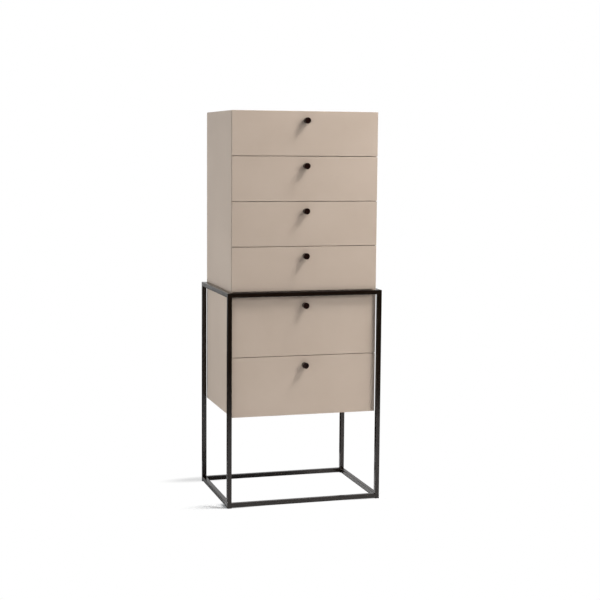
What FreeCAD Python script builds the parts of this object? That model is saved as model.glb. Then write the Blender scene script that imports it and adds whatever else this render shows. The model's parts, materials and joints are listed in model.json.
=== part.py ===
import FreeCAD, Part
import os
import re
import Sketcher

# Chest on chest: four drawers stand on two deeper ones, which hang in an open frame of square tube.
# Millimetres. X runs to the right, Y to the back and Z up. The origin is on the floor, at the
# middle of the space that the frame and the knobs take up.

doc = FreeCAD.newDocument("chest_on_chest")

# Driving dimensions
SIZES = {
    # steel frame
    "frame_width": 538,
    "frame_depth": 400,
    "frame_height": 724,
    "tube": 15,
    "tube_wall": 1.5,
    # floor glides plugged into the posts
    "glide_thickness": 2,
    "glide_plug_length": 12,
    "glide_play": 0.2,
    # the two chests
    "chest_play": 2.5,
    "chest_rear_inset": 10,
    "lower_chest_base": 305.2,
    "upper_chest_height": 598,
    "board": 16,
    "arris": 1,
    "back_board": 8,
    "rebate": 8,
    # drawer fronts, set back from the face of the frame, bevelled behind a narrow edge
    "front_recess": 14,
    "front_thickness": 16,
    "front_land": 5,
    "front_edge_radius": 0.6,
    "front_gap": 2.2,
    "mitre_gap": 6,
    "upper_rail_gap": 2.5,
    "lower_rail_gap": 1,
    # drawer boxes
    "box_side": 15,
    "box_back": 12,
    "box_bottom": 6,
    "box_play": 1,
    "box_floor_gap": 3,
    "box_head_gap": 8,
    "box_rear_gap": 6,
    "bottom_rise": 10,
    "bottom_groove": 6,
    "bottom_play": 0.3,
    # hardwood runners, which lie in grooves of the drawer sides
    "runner_height": 16,
    "runner_thickness": 9,
    "runner_rise": 24,
    "runner_play": 0.3,
    "runner_setback": 2,
    "runner_rear_gap": 4,
    # turned knobs
    "knob_diameter": 21,
    "knob_neck": 19.5,
    "knob_length": 20,
    "knob_chamfer": 1.2,
    "knob_drop": 31,
    "stud_diameter": 5,
    "stud_cover": 4,
    "stud_play": 0.1,
    # countersunk bolts from the side rails into the lower chest's top board
    "frame_bolt_diameter": 5,
    "frame_bolt_head": 9.2,
    "frame_bolt_length": 45,
    "frame_bolt_inset": 40,
    # dowels that hang the lower chest's sides from its top board
    "dowel_diameter": 8,
    "dowel_length": 30,
    "dowel_cover": 4,
    # flat-headed bolts that hold the upper chest down on the lower one
    "connector_diameter": 6,
    "connector_head": 14,
    "connector_head_height": 2.5,
    "connector_inset": 60,
    "connector_cover": 2,
    # countersunk screws round the edge of each back panel
    "screw_diameter": 3.5,
    "screw_head": 7,
    "screw_length": 15,
    "drill_play": 0.15,
    # soft stops on the back panels, which the closed drawers rest against
    "stop_diameter": 12,
    "stop_inset": 80,
    # how far a cutting solid runs past the face that it starts from
    "overrun": 1,
}

# Where the dowels stand along the lower chest's sides
DOWEL_SHARES = (0.3, 0.7)

# Where the back panels' screws sit along the ledge that they go into
SIDE_SCREW_SHARES = (0.08, 0.5, 0.92)
CROSS_SCREW_SHARES = (0.3, 0.7)

DRAWERS_IN_UPPER_CHEST = 4
DRAWERS_IN_LOWER_CHEST = 2
HANDS = ("left", "right")

# Places and sizes worked out from the driving dimensions
LAYOUT = {
    # how far the knobs stand out in front of the frame, and the planes along Y
    "knob_reach": "knob_length - front_recess",
    "frame_front": "(knob_reach - frame_depth) / 2",
    "frame_back": "frame_front + frame_depth",
    "rail_front": "frame_front + tube",
    "rail_back": "frame_back - tube",
    "front_face": "frame_front + front_recess",
    "front_rear": "front_face + front_thickness",
    "carcass_front": "front_face + front_land + mitre_gap",
    "carcass_back": "frame_back - chest_rear_inset",
    "carcass_depth": "carcass_back - carcass_front",
    "back_inside": "carcass_back - back_board",
    "box_rear": "back_inside - box_rear_gap",
    # distances from the middle plane along X
    "frame_half": "frame_width / 2",
    "opening_half": "frame_half - tube",
    "chest_half": "opening_half - chest_play",
    "chest_width": "2 * chest_half",
    "carcass_inside": "chest_half - board",
    "back_half": "carcass_inside + rebate",
    "ledge_middle": "carcass_inside + rebate / 2",
    "box_half": "carcass_inside - box_play",
    "box_inside": "box_half - box_side",
    "bottom_half": "box_inside + bottom_groove - bottom_play",
    # heights
    "rail_under": "frame_height - tube",
    "lower_side_height": "rail_under - lower_chest_base",
    "upper_chest_top": "frame_height + upper_chest_height",
    "lower_floor": "lower_chest_base + board",
    "upper_floor": "frame_height + board",
    "upper_ceiling": "upper_chest_top - board",
    "upper_fronts_low": "frame_height + upper_rail_gap",
    "upper_fronts": "upper_chest_top - upper_fronts_low",
    "upper_front_height": f"(upper_fronts + front_gap) / {DRAWERS_IN_UPPER_CHEST} - front_gap",
    "lower_fronts_high": "rail_under - lower_rail_gap",
    "lower_fronts": "lower_fronts_high - lower_chest_base",
    "lower_front_height": f"(lower_fronts + front_gap) / {DRAWERS_IN_LOWER_CHEST} - front_gap",
    # drawer boxes, measured from the edges of their fronts
    "box_lift": "board + box_floor_gap",
    "box_drop": "board + box_head_gap",
    # runners
    "runner_front": "carcass_front + board + runner_setback",
    "runner_back": "back_inside - runner_rear_gap",
    "runner_inside": "carcass_inside - runner_thickness",
    # knob studs and fasteners
    "stud_length": "front_thickness - stud_cover",
    "bolt_height": "frame_height - tube / 2",
    "dowel_x": "chest_half - board / 2",
    "dowel_top": "frame_height - dowel_cover",
    "connector_x": "chest_half - connector_inset",
    "connector_length": "board + tube - connector_cover",
}

sizes = doc.addObject("Spreadsheet::Sheet", "sizes")
for row, (alias, number) in enumerate(SIZES.items(), start=1):
    sizes.set(f"A{row}", alias)
    sizes.set(f"B{row}", str(number))
    sizes.setAlias(f"B{row}", alias)


def formula(text):
    """The text with each name of a size or place led by the sheet that holds it."""
    def with_sheet(match):
        word = match.group()
        if word in SIZES:
            return f"sizes.{word}"
        if word in LAYOUT:
            return f"layout.{word}"
        return word
    return re.sub(r"[a-z_]+", with_sheet, text)


layout = doc.addObject("Spreadsheet::Sheet", "layout")
for row, (alias, text) in enumerate(LAYOUT.items(), start=1):
    layout.set(f"A{row}", alias)
    layout.setAlias(f"B{row}", alias)
for row, text in enumerate(LAYOUT.values(), start=1):
    layout.set(f"B{row}", "=" + formula(text))
doc.recompute()

pieces = []


def value(text):
    """The present number that a formula gives."""
    return float(layout.evalExpression(formula(text)))


def keep(piece, name):
    """Names a finished piece and puts it on the list of pieces."""
    piece.Label = name
    pieces.append(piece)
    return piece


def across(hand, inner, outer):
    """The span between two distances from the middle plane, on the left or the right hand."""
    if hand == "left":
        return f"-({outer})", f"-({inner})"
    return inner, outer


def signed(hand, distance):
    """A distance from the middle plane as an X coordinate."""
    return f"-({distance})" if hand == "left" else distance


def put(thing, x, y, z):
    """Binds where an object stands."""
    for axis, text in zip("xyz", (x, y, z)):
        thing.setExpression(f"Placement.Base.{axis}", formula(text))


def block(name, x, y, z):
    """A box that fills a span, low and high, along each axis."""
    box = doc.addObject("Part::Box", name)
    for side, (low, high) in zip(("Length", "Width", "Height"), (x, y, z)):
        box.setExpression(side, formula(f"({high}) - ({low})"))
    put(box, x[0], y[0], z[0])
    return box


def turn_to(thing, direction):
    """Turns a solid that was made along Z to point in another direction."""
    thing.Placement.Rotation = FreeCAD.Rotation(FreeCAD.Vector(0, 0, 1), FreeCAD.Vector(*direction))


def rod(name, radius, length, at, direction):
    """A round bar from a point along a direction."""
    bar = doc.addObject("Part::Cylinder", name)
    bar.setExpression("Radius", formula(radius))
    bar.setExpression("Height", formula(length))
    turn_to(bar, direction)
    put(bar, *at)
    return bar


def taper(name, wide, narrow, length, at, direction):
    """A cone frustum from its wide end at a point, narrowing along a direction."""
    cone = doc.addObject("Part::Cone", name)
    cone.setExpression("Radius1", formula(wide))
    cone.setExpression("Radius2", formula(narrow))
    cone.setExpression("Height", formula(length))
    turn_to(cone, direction)
    put(cone, *at)
    return cone


def cut(name, base, tool):
    """What is left of a solid when a tool is taken out of it."""
    result = doc.addObject("Part::Cut", name)
    result.Base = base
    result.Tool = tool
    return result


def fuse(name, solids):
    """Several overlapping solids as one."""
    result = doc.addObject("Part::MultiFuse", name)
    result.Shapes = solids
    return result


def group(name, solids):
    """Separate solids that share one node."""
    result = doc.addObject("Part::Compound", name)
    result.Links = solids
    return keep(result, name)


def countersunk(name, head, diameter, length, play, at, direction):
    """A fastener with a flush 90 degree head, or the hole for it, with play all round."""
    head_radius = f"({head} / 2 + {play})"
    shank_radius = f"({diameter} / 2 + {play})"
    cone = taper(f"{name}_head", head_radius, shank_radius, f"({head} - {diameter}) / 2", at, direction)
    shank = rod(f"{name}_shank", shank_radius, f"({length}) + {play}", at, direction)
    return fuse(name, [cone, shank])


def origin_plane(body, role):
    """One of the base planes of a body."""
    return next(feature for feature in body.Origin.OriginFeatures if feature.Role == role)


def outline(body, role, corners):
    """A closed outline of straight lines on a base plane, each corner bound to its formulas."""
    sketch = body.newObject("Sketcher::SketchObject", f"{body.Name}_outline")
    sketch.AttachmentSupport = (origin_plane(body, role), [""])
    sketch.MapMode = "FlatFace"
    points = [FreeCAD.Vector(value(across_text), value(up_text), 0) for across_text, up_text in corners]
    following = points[1:] + points[:1]
    for start, end in zip(points, following):
        sketch.addGeometry(Part.LineSegment(start, end), False)
    count = len(corners)
    for index in range(count):
        sketch.addConstraint(Sketcher.Constraint("Coincident", index, 2, (index + 1) % count, 1))
    for index, texts in enumerate(corners):
        for kind, axis, text in zip(("DistanceX", "DistanceY"), (-2, -1), texts):
            if text == "0":
                sketch.addConstraint(Sketcher.Constraint("PointOnObject", index, 1, axis))
                continue
            number = sketch.addConstraint(Sketcher.Constraint(kind, -1, 1, index, 1, value(text)))
            name = f"corner_{index + 1}_{kind}"
            sketch.renameConstraint(number, name)
            sketch.setExpression(f"Constraints.{name}", formula(text))
    return sketch


def slab(name, corners, thickness):
    """A body padded backwards from an outline in its XZ plane."""
    body = doc.addObject("PartDesign::Body", name)
    sketch = outline(body, "XZ_Plane", corners)
    pad = body.newObject("PartDesign::Pad", f"{name}_pad")
    pad.Profile = sketch
    pad.Reversed = True
    pad.setExpression("Length", formula(thickness))
    return body, pad


# Steel frame: four closed-top posts joined by a ring of rails at the top and another at the floor

POST_SPANS = {"front": ("frame_front", "rail_front"), "back": ("rail_back", "frame_back")}
RING_SPANS = {
    "top": ("rail_under", "frame_height"),
    "bottom": ("glide_thickness", "glide_thickness + tube"),
}


def bored(name, solid, x, y, z):
    """A tube: a solid bar with a square bore."""
    return cut(name, solid, block(f"{name}_bore", x, y, z))


def inset(span):
    """A span with the tube's wall taken off both ends."""
    low, high = span
    return f"{low} + tube_wall", f"{high} - tube_wall"


def past(span):
    """A span that runs past both ends, for a cut that goes right through."""
    low, high = span
    return f"{low} - overrun", f"{high} + overrun"


for end, depth in POST_SPANS.items():
    for hand in HANDS:
        name = f"frame_post_{end}_{hand}"
        width = across(hand, "opening_half", "frame_half")
        bar = block(f"{name}_bar", width, depth, ("glide_thickness", "frame_height"))
        bore = ("glide_thickness - overrun", "frame_height - tube_wall")
        keep(bored(name, bar, inset(width), inset(depth), bore), name)

for ring, height in RING_SPANS.items():
    for end, depth in POST_SPANS.items():
        name = f"frame_{ring}_rail_{end}"
        width = ("-opening_half", "opening_half")
        bar = block(f"{name}_bar", width, depth, height)
        keep(bored(name, bar, past(width), inset(depth), inset(height)), name)

bolt_places = (
    "rail_front + frame_bolt_inset",
    "(rail_front + rail_back) / 2",
    "rail_back - frame_bolt_inset",
)


def frame_bolts(name, play):
    """The six frame bolts by hand, or their holes, pointing inwards from the frame's sides."""
    bolts = {}
    for hand in HANDS:
        inward = (1, 0, 0) if hand == "left" else (-1, 0, 0)
        bolts[hand] = [
            countersunk(
                f"{name}_{hand}_{number}", "frame_bolt_head", "frame_bolt_diameter", "frame_bolt_length",
                play, (signed(hand, "frame_half"), place, "bolt_height"), inward,
            )
            for number, place in enumerate(bolt_places, start=1)
        ]
    return bolts


bolts = frame_bolts("frame_bolt", "0")
bolt_holes = frame_bolts("frame_bolt_hole", "drill_play")
group("frame_bolts", bolts["left"] + bolts["right"])

for ring, height in RING_SPANS.items():
    for hand in HANDS:
        name = f"frame_{ring}_rail_{hand}"
        width = across(hand, "opening_half", "frame_half")
        depth = ("rail_front", "rail_back")
        bar = block(f"{name}_bar", width, depth, height)
        if ring == "top":
            tube = bored(f"{name}_tube", bar, inset(width), past(depth), inset(height))
            keep(cut(name, tube, fuse(f"{name}_drills", bolt_holes[hand])), name)
        else:
            keep(bored(name, bar, inset(width), past(depth), inset(height)), name)

glides = []
for end, depth in POST_SPANS.items():
    for hand in HANDS:
        name = f"glide_{end}_{hand}"
        width = across(hand, "opening_half", "frame_half")
        foot = block(f"{name}_foot", width, depth, ("0", "glide_thickness"))
        plug_width, plug_depth = [
            (f"{low} + glide_play", f"{high} - glide_play") for low, high in (inset(width), inset(depth))
        ]
        plug_height = ("0", "glide_thickness + glide_plug_length")
        plug = block(f"{name}_plug", plug_width, plug_depth, plug_height)
        glides.append(fuse(name, [foot, plug]))
group("floor_glides", glides)


# Carcasses: boards mitred at the corners and bevelled round the mouth, rebated for the back panel

MITRE = "arris / 2"
BOARD_UNDER_FLOOR = [
    ("board", "board"), (MITRE, MITRE), ("arris", "0"),
    ("chest_width - arris", "0"), (f"chest_width - {MITRE}", MITRE), ("chest_width - board", "board"),
]


def upside_down(corners, height):
    """An outline turned over about the middle of its height."""
    return [(x, f"{height} - ({z})" if z != "0" else height) for x, z in corners]


def other_hand(corners, width):
    """An outline mirrored about the middle of its width."""
    return [(f"{width} - ({x})" if x != "0" else width, z) for x, z in corners]


def without_zero(corners):
    """An outline with each sum that comes to nothing written as plain zero."""
    return [tuple("0" if abs(value(text)) < 1e-9 else text for text in corner) for corner in corners]


def side_outline(height, mitred_top):
    """A left side board seen from the front, outer face at zero."""
    corners = [("0", "arris"), (MITRE, MITRE), ("board", "board")]
    if not mitred_top:
        return corners + [("board", height), ("0", height)]
    mitre_top = [("board", f"{height} - board"), (MITRE, f"{height} - {MITRE}"), ("0", f"{height} - arris")]
    return corners + mitre_top


def back_screws(chest, low, high, ledges_across, play):
    """The screws round a back panel, or their holes, pointing forwards from its rear face."""
    places = []
    for hand in HANDS:
        for share in SIDE_SCREW_SHARES:
            places.append((signed(hand, "ledge_middle"), f"{low} + {share} * ({high} - ({low}))"))
    for height in ledges_across:
        for share in CROSS_SCREW_SHARES:
            places.append((f"(2 * {share} - 1) * carcass_inside", height))
    return [
        countersunk(
            f"{chest}_{number}", "screw_head", "screw_diameter", "screw_length",
            play, (x, "carcass_back", z), (0, -1, 0),
        )
        for number, (x, z) in enumerate(places, start=1)
    ]


def mouth(chest, front_heights, inside_heights):
    """The space in front of a carcass's inside, which widens forwards at 45 degrees to thin edges."""
    wedge = doc.addObject("Part::Wedge", f"{chest}_chest_mouth")
    bindings = {
        "Xmin": "-(chest_half - arris)", "Xmax": "chest_half - arris",
        "X2min": "-carcass_inside", "X2max": "carcass_inside",
        "Ymin": "0", "Ymax": "board - arris",
        "Zmin": front_heights[0], "Zmax": front_heights[1],
        "Z2min": inside_heights[0], "Z2max": inside_heights[1],
    }
    for side, text in bindings.items():
        wedge.setExpression(side, formula(text))
    put(wedge, "0", "carcass_front", "0")
    return wedge


screws = []


def back_panel(chest, low, high, ledges_across):
    """Makes a chest's back panel and returns the tool that rebates and drills its boards."""
    name = f"{chest}_chest_back"
    width = ("-back_half", "back_half")
    blank = block(f"{name}_blank", width, ("back_inside", "carcass_back"), (low, high))
    screws.extend(back_screws(f"{chest}_screw", low, high, ledges_across, "0"))
    drills = back_screws(f"{chest}_screw_hole", low, high, ledges_across, "drill_play")
    keep(cut(name, blank, fuse(f"{name}_drills", drills)), name)
    return fuse(f"{name}_rebate", [blank] + drills)


def carcass_board(name, corners, left, base, tools):
    """A board of a carcass, cut in turn by each tool."""
    board, pad = slab(f"{name}_blank", corners, "carcass_depth")
    put(board, left, "carcass_front", base)
    for number, tool in enumerate(tools[:-1], start=1):
        board = cut(f"{name}_cut_{number}", board, tool)
    keep(cut(name, board, tools[-1]), name)


connector_places = {
    "front": "carcass_front + connector_inset",
    "back": "carcass_back - connector_inset",
}
connectors = []
connector_holes = []
for hand in HANDS:
    for end, place in connector_places.items():
        name = f"connector_{end}_{hand}"
        spot = (signed(hand, "connector_x"), place, "upper_floor")
        shank = rod(f"{name}_shank", "connector_diameter / 2", "connector_length", spot, (0, 0, -1))
        head = rod(f"{name}_head", "connector_head / 2", "connector_head_height", spot, (0, 0, 1))
        connectors.append(fuse(name, [shank, head]))
        hole_radius = "connector_diameter / 2 + drill_play"
        hole_top = (spot[0], spot[1], "upper_floor + overrun")
        hole_length = "board + tube + 2 * overrun"
        connector_holes.append(rod(f"{name}_hole", hole_radius, hole_length, hole_top, (0, 0, -1)))
group("connector_bolts", connectors)
connector_drills = fuse("connector_drills", connector_holes)


def dowels(name, play):
    """The dowels between the lower chest's sides and top board, or their holes, pointing down."""
    return [
        rod(
            f"{name}_{hand}_{number}", f"dowel_diameter / 2 + {play}", f"dowel_length + 2 * {play}",
            (signed(hand, "dowel_x"), f"carcass_front + {share} * carcass_depth", f"dowel_top + {play}"),
            (0, 0, -1),
        )
        for hand in HANDS
        for number, share in enumerate(DOWEL_SHARES, start=1)
    ]


group("lower_chest_dowels", dowels("dowel", "0"))
dowel_holes = dowels("dowel_hole", "drill_play")
dowel_drills = fuse("dowel_drills", dowel_holes)

upper_rebate = back_panel(
    "upper", "upper_floor - rebate", "upper_ceiling + rebate",
    ("upper_floor - rebate / 2", "upper_ceiling + rebate / 2"),
)
upper_mouth = mouth(
    "upper", ("frame_height + arris", "upper_chest_top - arris"), ("upper_floor", "upper_ceiling"),
)
upper_cuts = [upper_rebate, upper_mouth]
upper_side = side_outline("upper_chest_height", True)
carcass_board("upper_chest_left_side", upper_side, "-chest_half", "frame_height", upper_cuts)
carcass_board(
    "upper_chest_right_side", without_zero(other_hand(upper_side, "board")),
    "carcass_inside", "frame_height", upper_cuts,
)
carcass_board(
    "upper_chest_top", without_zero(upside_down(BOARD_UNDER_FLOOR, "board")),
    "-chest_half", "upper_ceiling", upper_cuts,
)
carcass_board(
    "upper_chest_bottom", BOARD_UNDER_FLOOR, "-chest_half", "frame_height", upper_cuts + [connector_drills],
)

lower_rebate = back_panel("lower", "lower_floor - rebate", "rail_under", ("lower_floor - rebate / 2",))
lower_mouth = mouth("lower", ("lower_chest_base + arris", "rail_under"), ("lower_floor", "rail_under"))
lower_cuts = [lower_rebate, lower_mouth, dowel_drills]
lower_side = side_outline("lower_side_height", False)
carcass_board("lower_chest_left_side", lower_side, "-chest_half", "lower_chest_base", lower_cuts)
carcass_board(
    "lower_chest_right_side", without_zero(other_hand(lower_side, "board")),
    "carcass_inside", "lower_chest_base", lower_cuts,
)
carcass_board(
    "lower_chest_bottom", BOARD_UNDER_FLOOR, "-chest_half", "lower_chest_base", [lower_rebate, lower_mouth],
)

# The lower chest's top board fills the frame's upper ring and carries the upper chest
top_board = block(
    "lower_chest_top_blank", ("-opening_half", "opening_half"),
    ("rail_front", "rail_back"), ("rail_under", "frame_height"),
)
top_holes = bolt_holes["left"] + bolt_holes["right"] + connector_holes + dowel_holes
keep(cut("lower_chest_top", top_board, fuse("lower_chest_top_drills", top_holes)), "lower_chest_top")
group("back_panel_screws", screws)


# Drawers: a lacquered front with its knob, on a box of two grooved sides, a back and a bottom

runners = {"upper": [], "lower": []}
stops = []


def knob(name, height):
    """A knob turned about the Y axis, from its face at zero back to the end of its stud."""
    body = doc.addObject("PartDesign::Body", name)
    profile = outline(body, "XY_Plane", [
        ("0", "0"),
        ("knob_diameter / 2 - knob_chamfer", "0"),
        ("knob_diameter / 2", "knob_chamfer"),
        ("knob_neck / 2", "knob_length"),
        ("stud_diameter / 2", "knob_length"),
        ("stud_diameter / 2", "knob_length + stud_length"),
        ("0", "knob_length + stud_length"),
    ])
    turned = body.newObject("PartDesign::Revolution", f"{name}_turned")
    turned.Profile = profile
    turned.ReferenceAxis = (profile, ["V_Axis"])
    put(body, "0", "front_face - knob_length", height)
    return keep(body, name)


def edges_where(shape, test):
    """The names of a shape's straight edges that pass a test of their bounding boxes."""
    return [
        f"Edge{number}"
        for number, edge in enumerate(shape.Edges, start=1)
        if isinstance(edge.Curve, Part.Line) and test(edge.BoundBox)
    ]


def front(name, low, high, bevelled_ends):
    """A front padded to its thickness, drilled for the knob, bevelled behind and eased round its face."""
    height = f"({high}) - ({low})"
    corners = [("0", "0"), ("chest_width", "0"), ("chest_width", height), ("0", height)]
    body, pad = slab(name, corners, "front_thickness")
    put(body, "-chest_half", "front_face", low)
    doc.recompute()
    solid_volume = pad.Shape.Volume

    hole = body.newObject("Sketcher::SketchObject", f"{name}_stud_hole")
    hole.AttachmentSupport = (origin_plane(body, "XZ_Plane"), [""])
    hole.MapMode = "FlatFace"
    bindings = {
        "middle": ("DistanceX", "chest_half"),
        "rise": ("DistanceY", f"{height} - knob_drop"),
        "radius": ("Radius", "stud_diameter / 2 + stud_play"),
    }
    centre = FreeCAD.Vector(value(bindings["middle"][1]), value(bindings["rise"][1]), 0)
    hole.addGeometry(Part.Circle(centre, FreeCAD.Vector(0, 0, 1), value(bindings["radius"][1])), False)
    for constraint, (kind, text) in bindings.items():
        ends = (0,) if kind == "Radius" else (-1, 1, 0, 3)
        number = hole.addConstraint(Sketcher.Constraint(kind, *ends, value(text)))
        hole.renameConstraint(number, constraint)
        hole.setExpression(f"Constraints.{constraint}", formula(text))

    pocket = body.newObject("PartDesign::Pocket", f"{name}_pocket")
    pocket.Profile = hole
    pocket.setExpression("Length", formula("stud_length + stud_play"))
    doc.recompute()
    if pocket.Shape.Volume >= solid_volume:
        raise RuntimeError(f"{name}: the stud hole cut nothing")

    middle_depth = value("front_thickness") / 2
    middle_height = value(height) / 2

    def meets_carcass(box):
        upright = box.ZLength > box.XLength
        at_end = box.Center.z < middle_height and "bottom" in bevelled_ends
        at_end = at_end or (box.Center.z > middle_height and "top" in bevelled_ends)
        return box.YMin > middle_depth and (upright or at_end)

    bevel = body.newObject("PartDesign::Chamfer", f"{name}_bevel")
    bevel.Base = (pocket, edges_where(pocket.Shape, meets_carcass))
    bevel.setExpression("Size", formula("front_thickness - front_land"))
    doc.recompute()

    eased = body.newObject("PartDesign::Fillet", f"{name}_eased")
    eased.Base = (bevel, edges_where(bevel.Shape, lambda box: box.YMax < value("front_edge_radius")))
    eased.setExpression("Radius", formula("front_edge_radius"))
    return keep(body, name)


def drawer(number, chest, low, high, bevelled_ends):
    """A whole drawer behind a front between two heights, with its runners and stops."""
    name = f"drawer_{number}"
    front(f"{name}_front", low, high, bevelled_ends)
    knob(f"{name}_knob", f"{high} - knob_drop")

    box_low = f"{low} + box_lift"
    box_high = f"{high} - box_drop"
    panel_low = f"{box_low} + bottom_rise"
    panel_high = f"{panel_low} + box_bottom"
    runner_low = f"{panel_high} + runner_rise"
    runner_high = f"{runner_low} + runner_height"
    length = ("front_rear", "box_rear")

    sides = []
    for hand in HANDS:
        width = across(hand, "box_inside", "box_half")
        side = block(f"{name}_side_{hand}_blank", width, length, (box_low, box_high))
        runner_groove = block(
            f"{name}_runner_groove_{hand}",
            across(hand, "runner_inside - runner_play", "box_half + overrun"),
            ("runner_front - runner_play", "box_rear + overrun"),
            (f"{runner_low} - runner_play", f"{runner_high} + runner_play"),
        )
        bottom_groove = block(
            f"{name}_bottom_groove_{hand}",
            across(hand, "box_inside - overrun", "box_inside + bottom_groove"),
            ("front_rear - overrun", "box_rear + overrun"),
            (panel_low, panel_high),
        )
        grooves = fuse(f"{name}_grooves_{hand}", [runner_groove, bottom_groove])
        sides.append(cut(f"{name}_side_{hand}", side, grooves))
        runners[chest].append(block(
            f"{name}_runner_{hand}", across(hand, "runner_inside", "carcass_inside"),
            ("runner_front", "runner_back"), (runner_low, runner_high),
        ))
        stop_height = f"({panel_high} + {box_high}) / 2"
        spot = (signed(hand, "box_inside - stop_inset"), "box_rear", stop_height)
        stops.append(rod(f"{name}_stop_{hand}", "stop_diameter / 2", "box_rear_gap", spot, (0, 1, 0)))
    group(f"{name}_sides", sides)

    back_span = ("box_rear - box_back", "box_rear")
    back = block(f"{name}_back", ("-box_inside", "box_inside"), back_span, (panel_high, box_high))
    keep(back, f"{name}_back")
    bottom = block(f"{name}_bottom", ("-bottom_half", "bottom_half"), length, (panel_low, panel_high))
    keep(bottom, f"{name}_bottom")


for place in range(DRAWERS_IN_UPPER_CHEST):
    high = f"upper_chest_top - {place} * (upper_front_height + front_gap)"
    ends = {0: ["top"], DRAWERS_IN_UPPER_CHEST - 1: ["bottom"]}.get(place, [])
    drawer(place + 1, "upper", f"{high} - upper_front_height", high, ends)
for place in range(DRAWERS_IN_LOWER_CHEST):
    high = f"lower_fronts_high - {place} * (lower_front_height + front_gap)"
    ends = {DRAWERS_IN_LOWER_CHEST - 1: ["bottom"]}.get(place, [])
    drawer(DRAWERS_IN_UPPER_CHEST + place + 1, "lower", f"{high} - lower_front_height", high, ends)

for chest, strips in runners.items():
    group(f"{chest}_chest_runners", strips)
group("drawer_stops", stops)


# Recompute, check everything and write one file for each piece

doc.recompute()
for thing in doc.Objects:
    if "Invalid" in thing.State or "Error" in thing.State:
        raise RuntimeError(f"{thing.Name} failed: {thing.State}")
for piece in pieces:
    if piece.Shape.isNull() or not piece.Shape.isValid() or not piece.Shape.Solids:
        raise RuntimeError(f"{piece.Label} has no valid solid")

os.makedirs("parts", exist_ok=True)
for piece in pieces:
    piece.Shape.exportStep(f"parts/{piece.Label}.step")
    print(f"{piece.Label}: {len(piece.Shape.Solids)} solids, {piece.Shape.Volume:.0f} mm3")
print(f"{len(pieces)} pieces")
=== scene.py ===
# %% [markdown]
# # A chest on chest in satin lacquer and black steel
#
# The object is a tall, narrow pair of chests. Four drawers stand on two deeper ones, and the lower
# chest hangs in an open frame of square tube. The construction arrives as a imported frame: every
# board, rail and drawer is already in place, at real size, in metres. This lesson dresses it. It
# gives each surface its finish, and remakes the few pieces whose form lives in their small
# roundings: the tubes, the turned knobs and the heads of the fasteners.

# %% Load the frame
import json

import bpy
import numpy as np
from mathutils import Matrix, Vector

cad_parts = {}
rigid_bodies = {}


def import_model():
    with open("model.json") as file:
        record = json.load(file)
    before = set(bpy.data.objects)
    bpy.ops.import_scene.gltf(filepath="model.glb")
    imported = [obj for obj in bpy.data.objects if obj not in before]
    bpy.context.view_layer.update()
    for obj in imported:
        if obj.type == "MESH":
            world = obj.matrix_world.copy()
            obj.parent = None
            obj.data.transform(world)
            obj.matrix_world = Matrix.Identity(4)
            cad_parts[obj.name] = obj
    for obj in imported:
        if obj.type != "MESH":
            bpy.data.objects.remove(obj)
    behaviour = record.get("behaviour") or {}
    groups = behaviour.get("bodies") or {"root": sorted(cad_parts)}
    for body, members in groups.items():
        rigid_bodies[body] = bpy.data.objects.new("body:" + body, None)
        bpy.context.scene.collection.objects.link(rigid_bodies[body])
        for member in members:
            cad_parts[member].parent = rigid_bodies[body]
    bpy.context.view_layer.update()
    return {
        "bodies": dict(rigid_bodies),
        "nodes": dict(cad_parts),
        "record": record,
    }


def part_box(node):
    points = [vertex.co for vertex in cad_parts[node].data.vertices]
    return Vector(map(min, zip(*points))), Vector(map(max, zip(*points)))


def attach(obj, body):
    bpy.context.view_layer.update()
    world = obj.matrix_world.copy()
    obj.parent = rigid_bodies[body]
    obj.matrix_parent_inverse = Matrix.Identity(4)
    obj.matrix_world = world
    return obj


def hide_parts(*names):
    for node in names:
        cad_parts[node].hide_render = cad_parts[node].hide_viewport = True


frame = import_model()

nodes = frame["nodes"]

# %% [markdown]
# ## The camera
#
# The frame's straight edges fix the camera: the three sets of parallel edges meet at three
# vanishing points, and those give the lens and the way it looks. The eye stands about four and a
# half metres off, a little to the left and just under the height of the chest's top, so the top
# board shows only as an edge. Yaw, pitch and roll are kept as three plain turns, because they are
# easier to read than a matrix: yaw turns the level camera to the right, pitch tips it down, and roll
# is the half degree by which the tripod leaned.

# %% Camera
EYE = Vector((-1.2903, -4.4659, 1.2014))
YAW_DEG, PITCH_DEG, ROLL_DEG = 16.556, -6.465, 0.446
LENS_MM = 80.585
SENSOR_MM = 36.0

yaw, pitch, roll = np.radians((YAW_DEG, PITCH_DEG, ROLL_DEG))
level = np.pi / 2
turn = (
    Matrix.Rotation(-yaw, 4, "Z")
    @ Matrix.Rotation(level + pitch, 4, "X")
    @ Matrix.Rotation(roll, 4, "Z")
)
camera_data = bpy.data.cameras.new("photo_view")
camera_data.lens = LENS_MM
camera_data.sensor_width = SENSOR_MM
camera_data.sensor_fit = "HORIZONTAL"
camera = bpy.data.objects.new("photo_view", camera_data)
camera.matrix_world = Matrix.Translation(EYE) @ turn
bpy.context.scene.collection.objects.link(camera)
bpy.context.scene.camera = camera
bpy.context.scene.view_settings.view_transform = "Standard"
print("camera at", tuple(round(v, 3) for v in EYE))

# %% [markdown]
# ## Small helpers for node trees
#
# Every finish here is a tree of shader nodes. Two helpers keep the trees short enough to read: one
# adds a node and sets its values by name, and one joins outputs to inputs.

# %% Node helpers
def add_node(tree, kind, values=None, **settings):
    """Adds a node, sets its properties from the keywords and its input sockets from values."""
    node = tree.nodes.new(kind)
    for key, setting in settings.items():
        setattr(node, key, setting)
    for socket, value in (values or {}).items():
        node.inputs[socket].default_value = value
    return node


def join(tree, *pairs):
    """Links each pair of an output socket and an input socket."""
    for source, target in pairs:
        tree.links.new(source, target)


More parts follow.
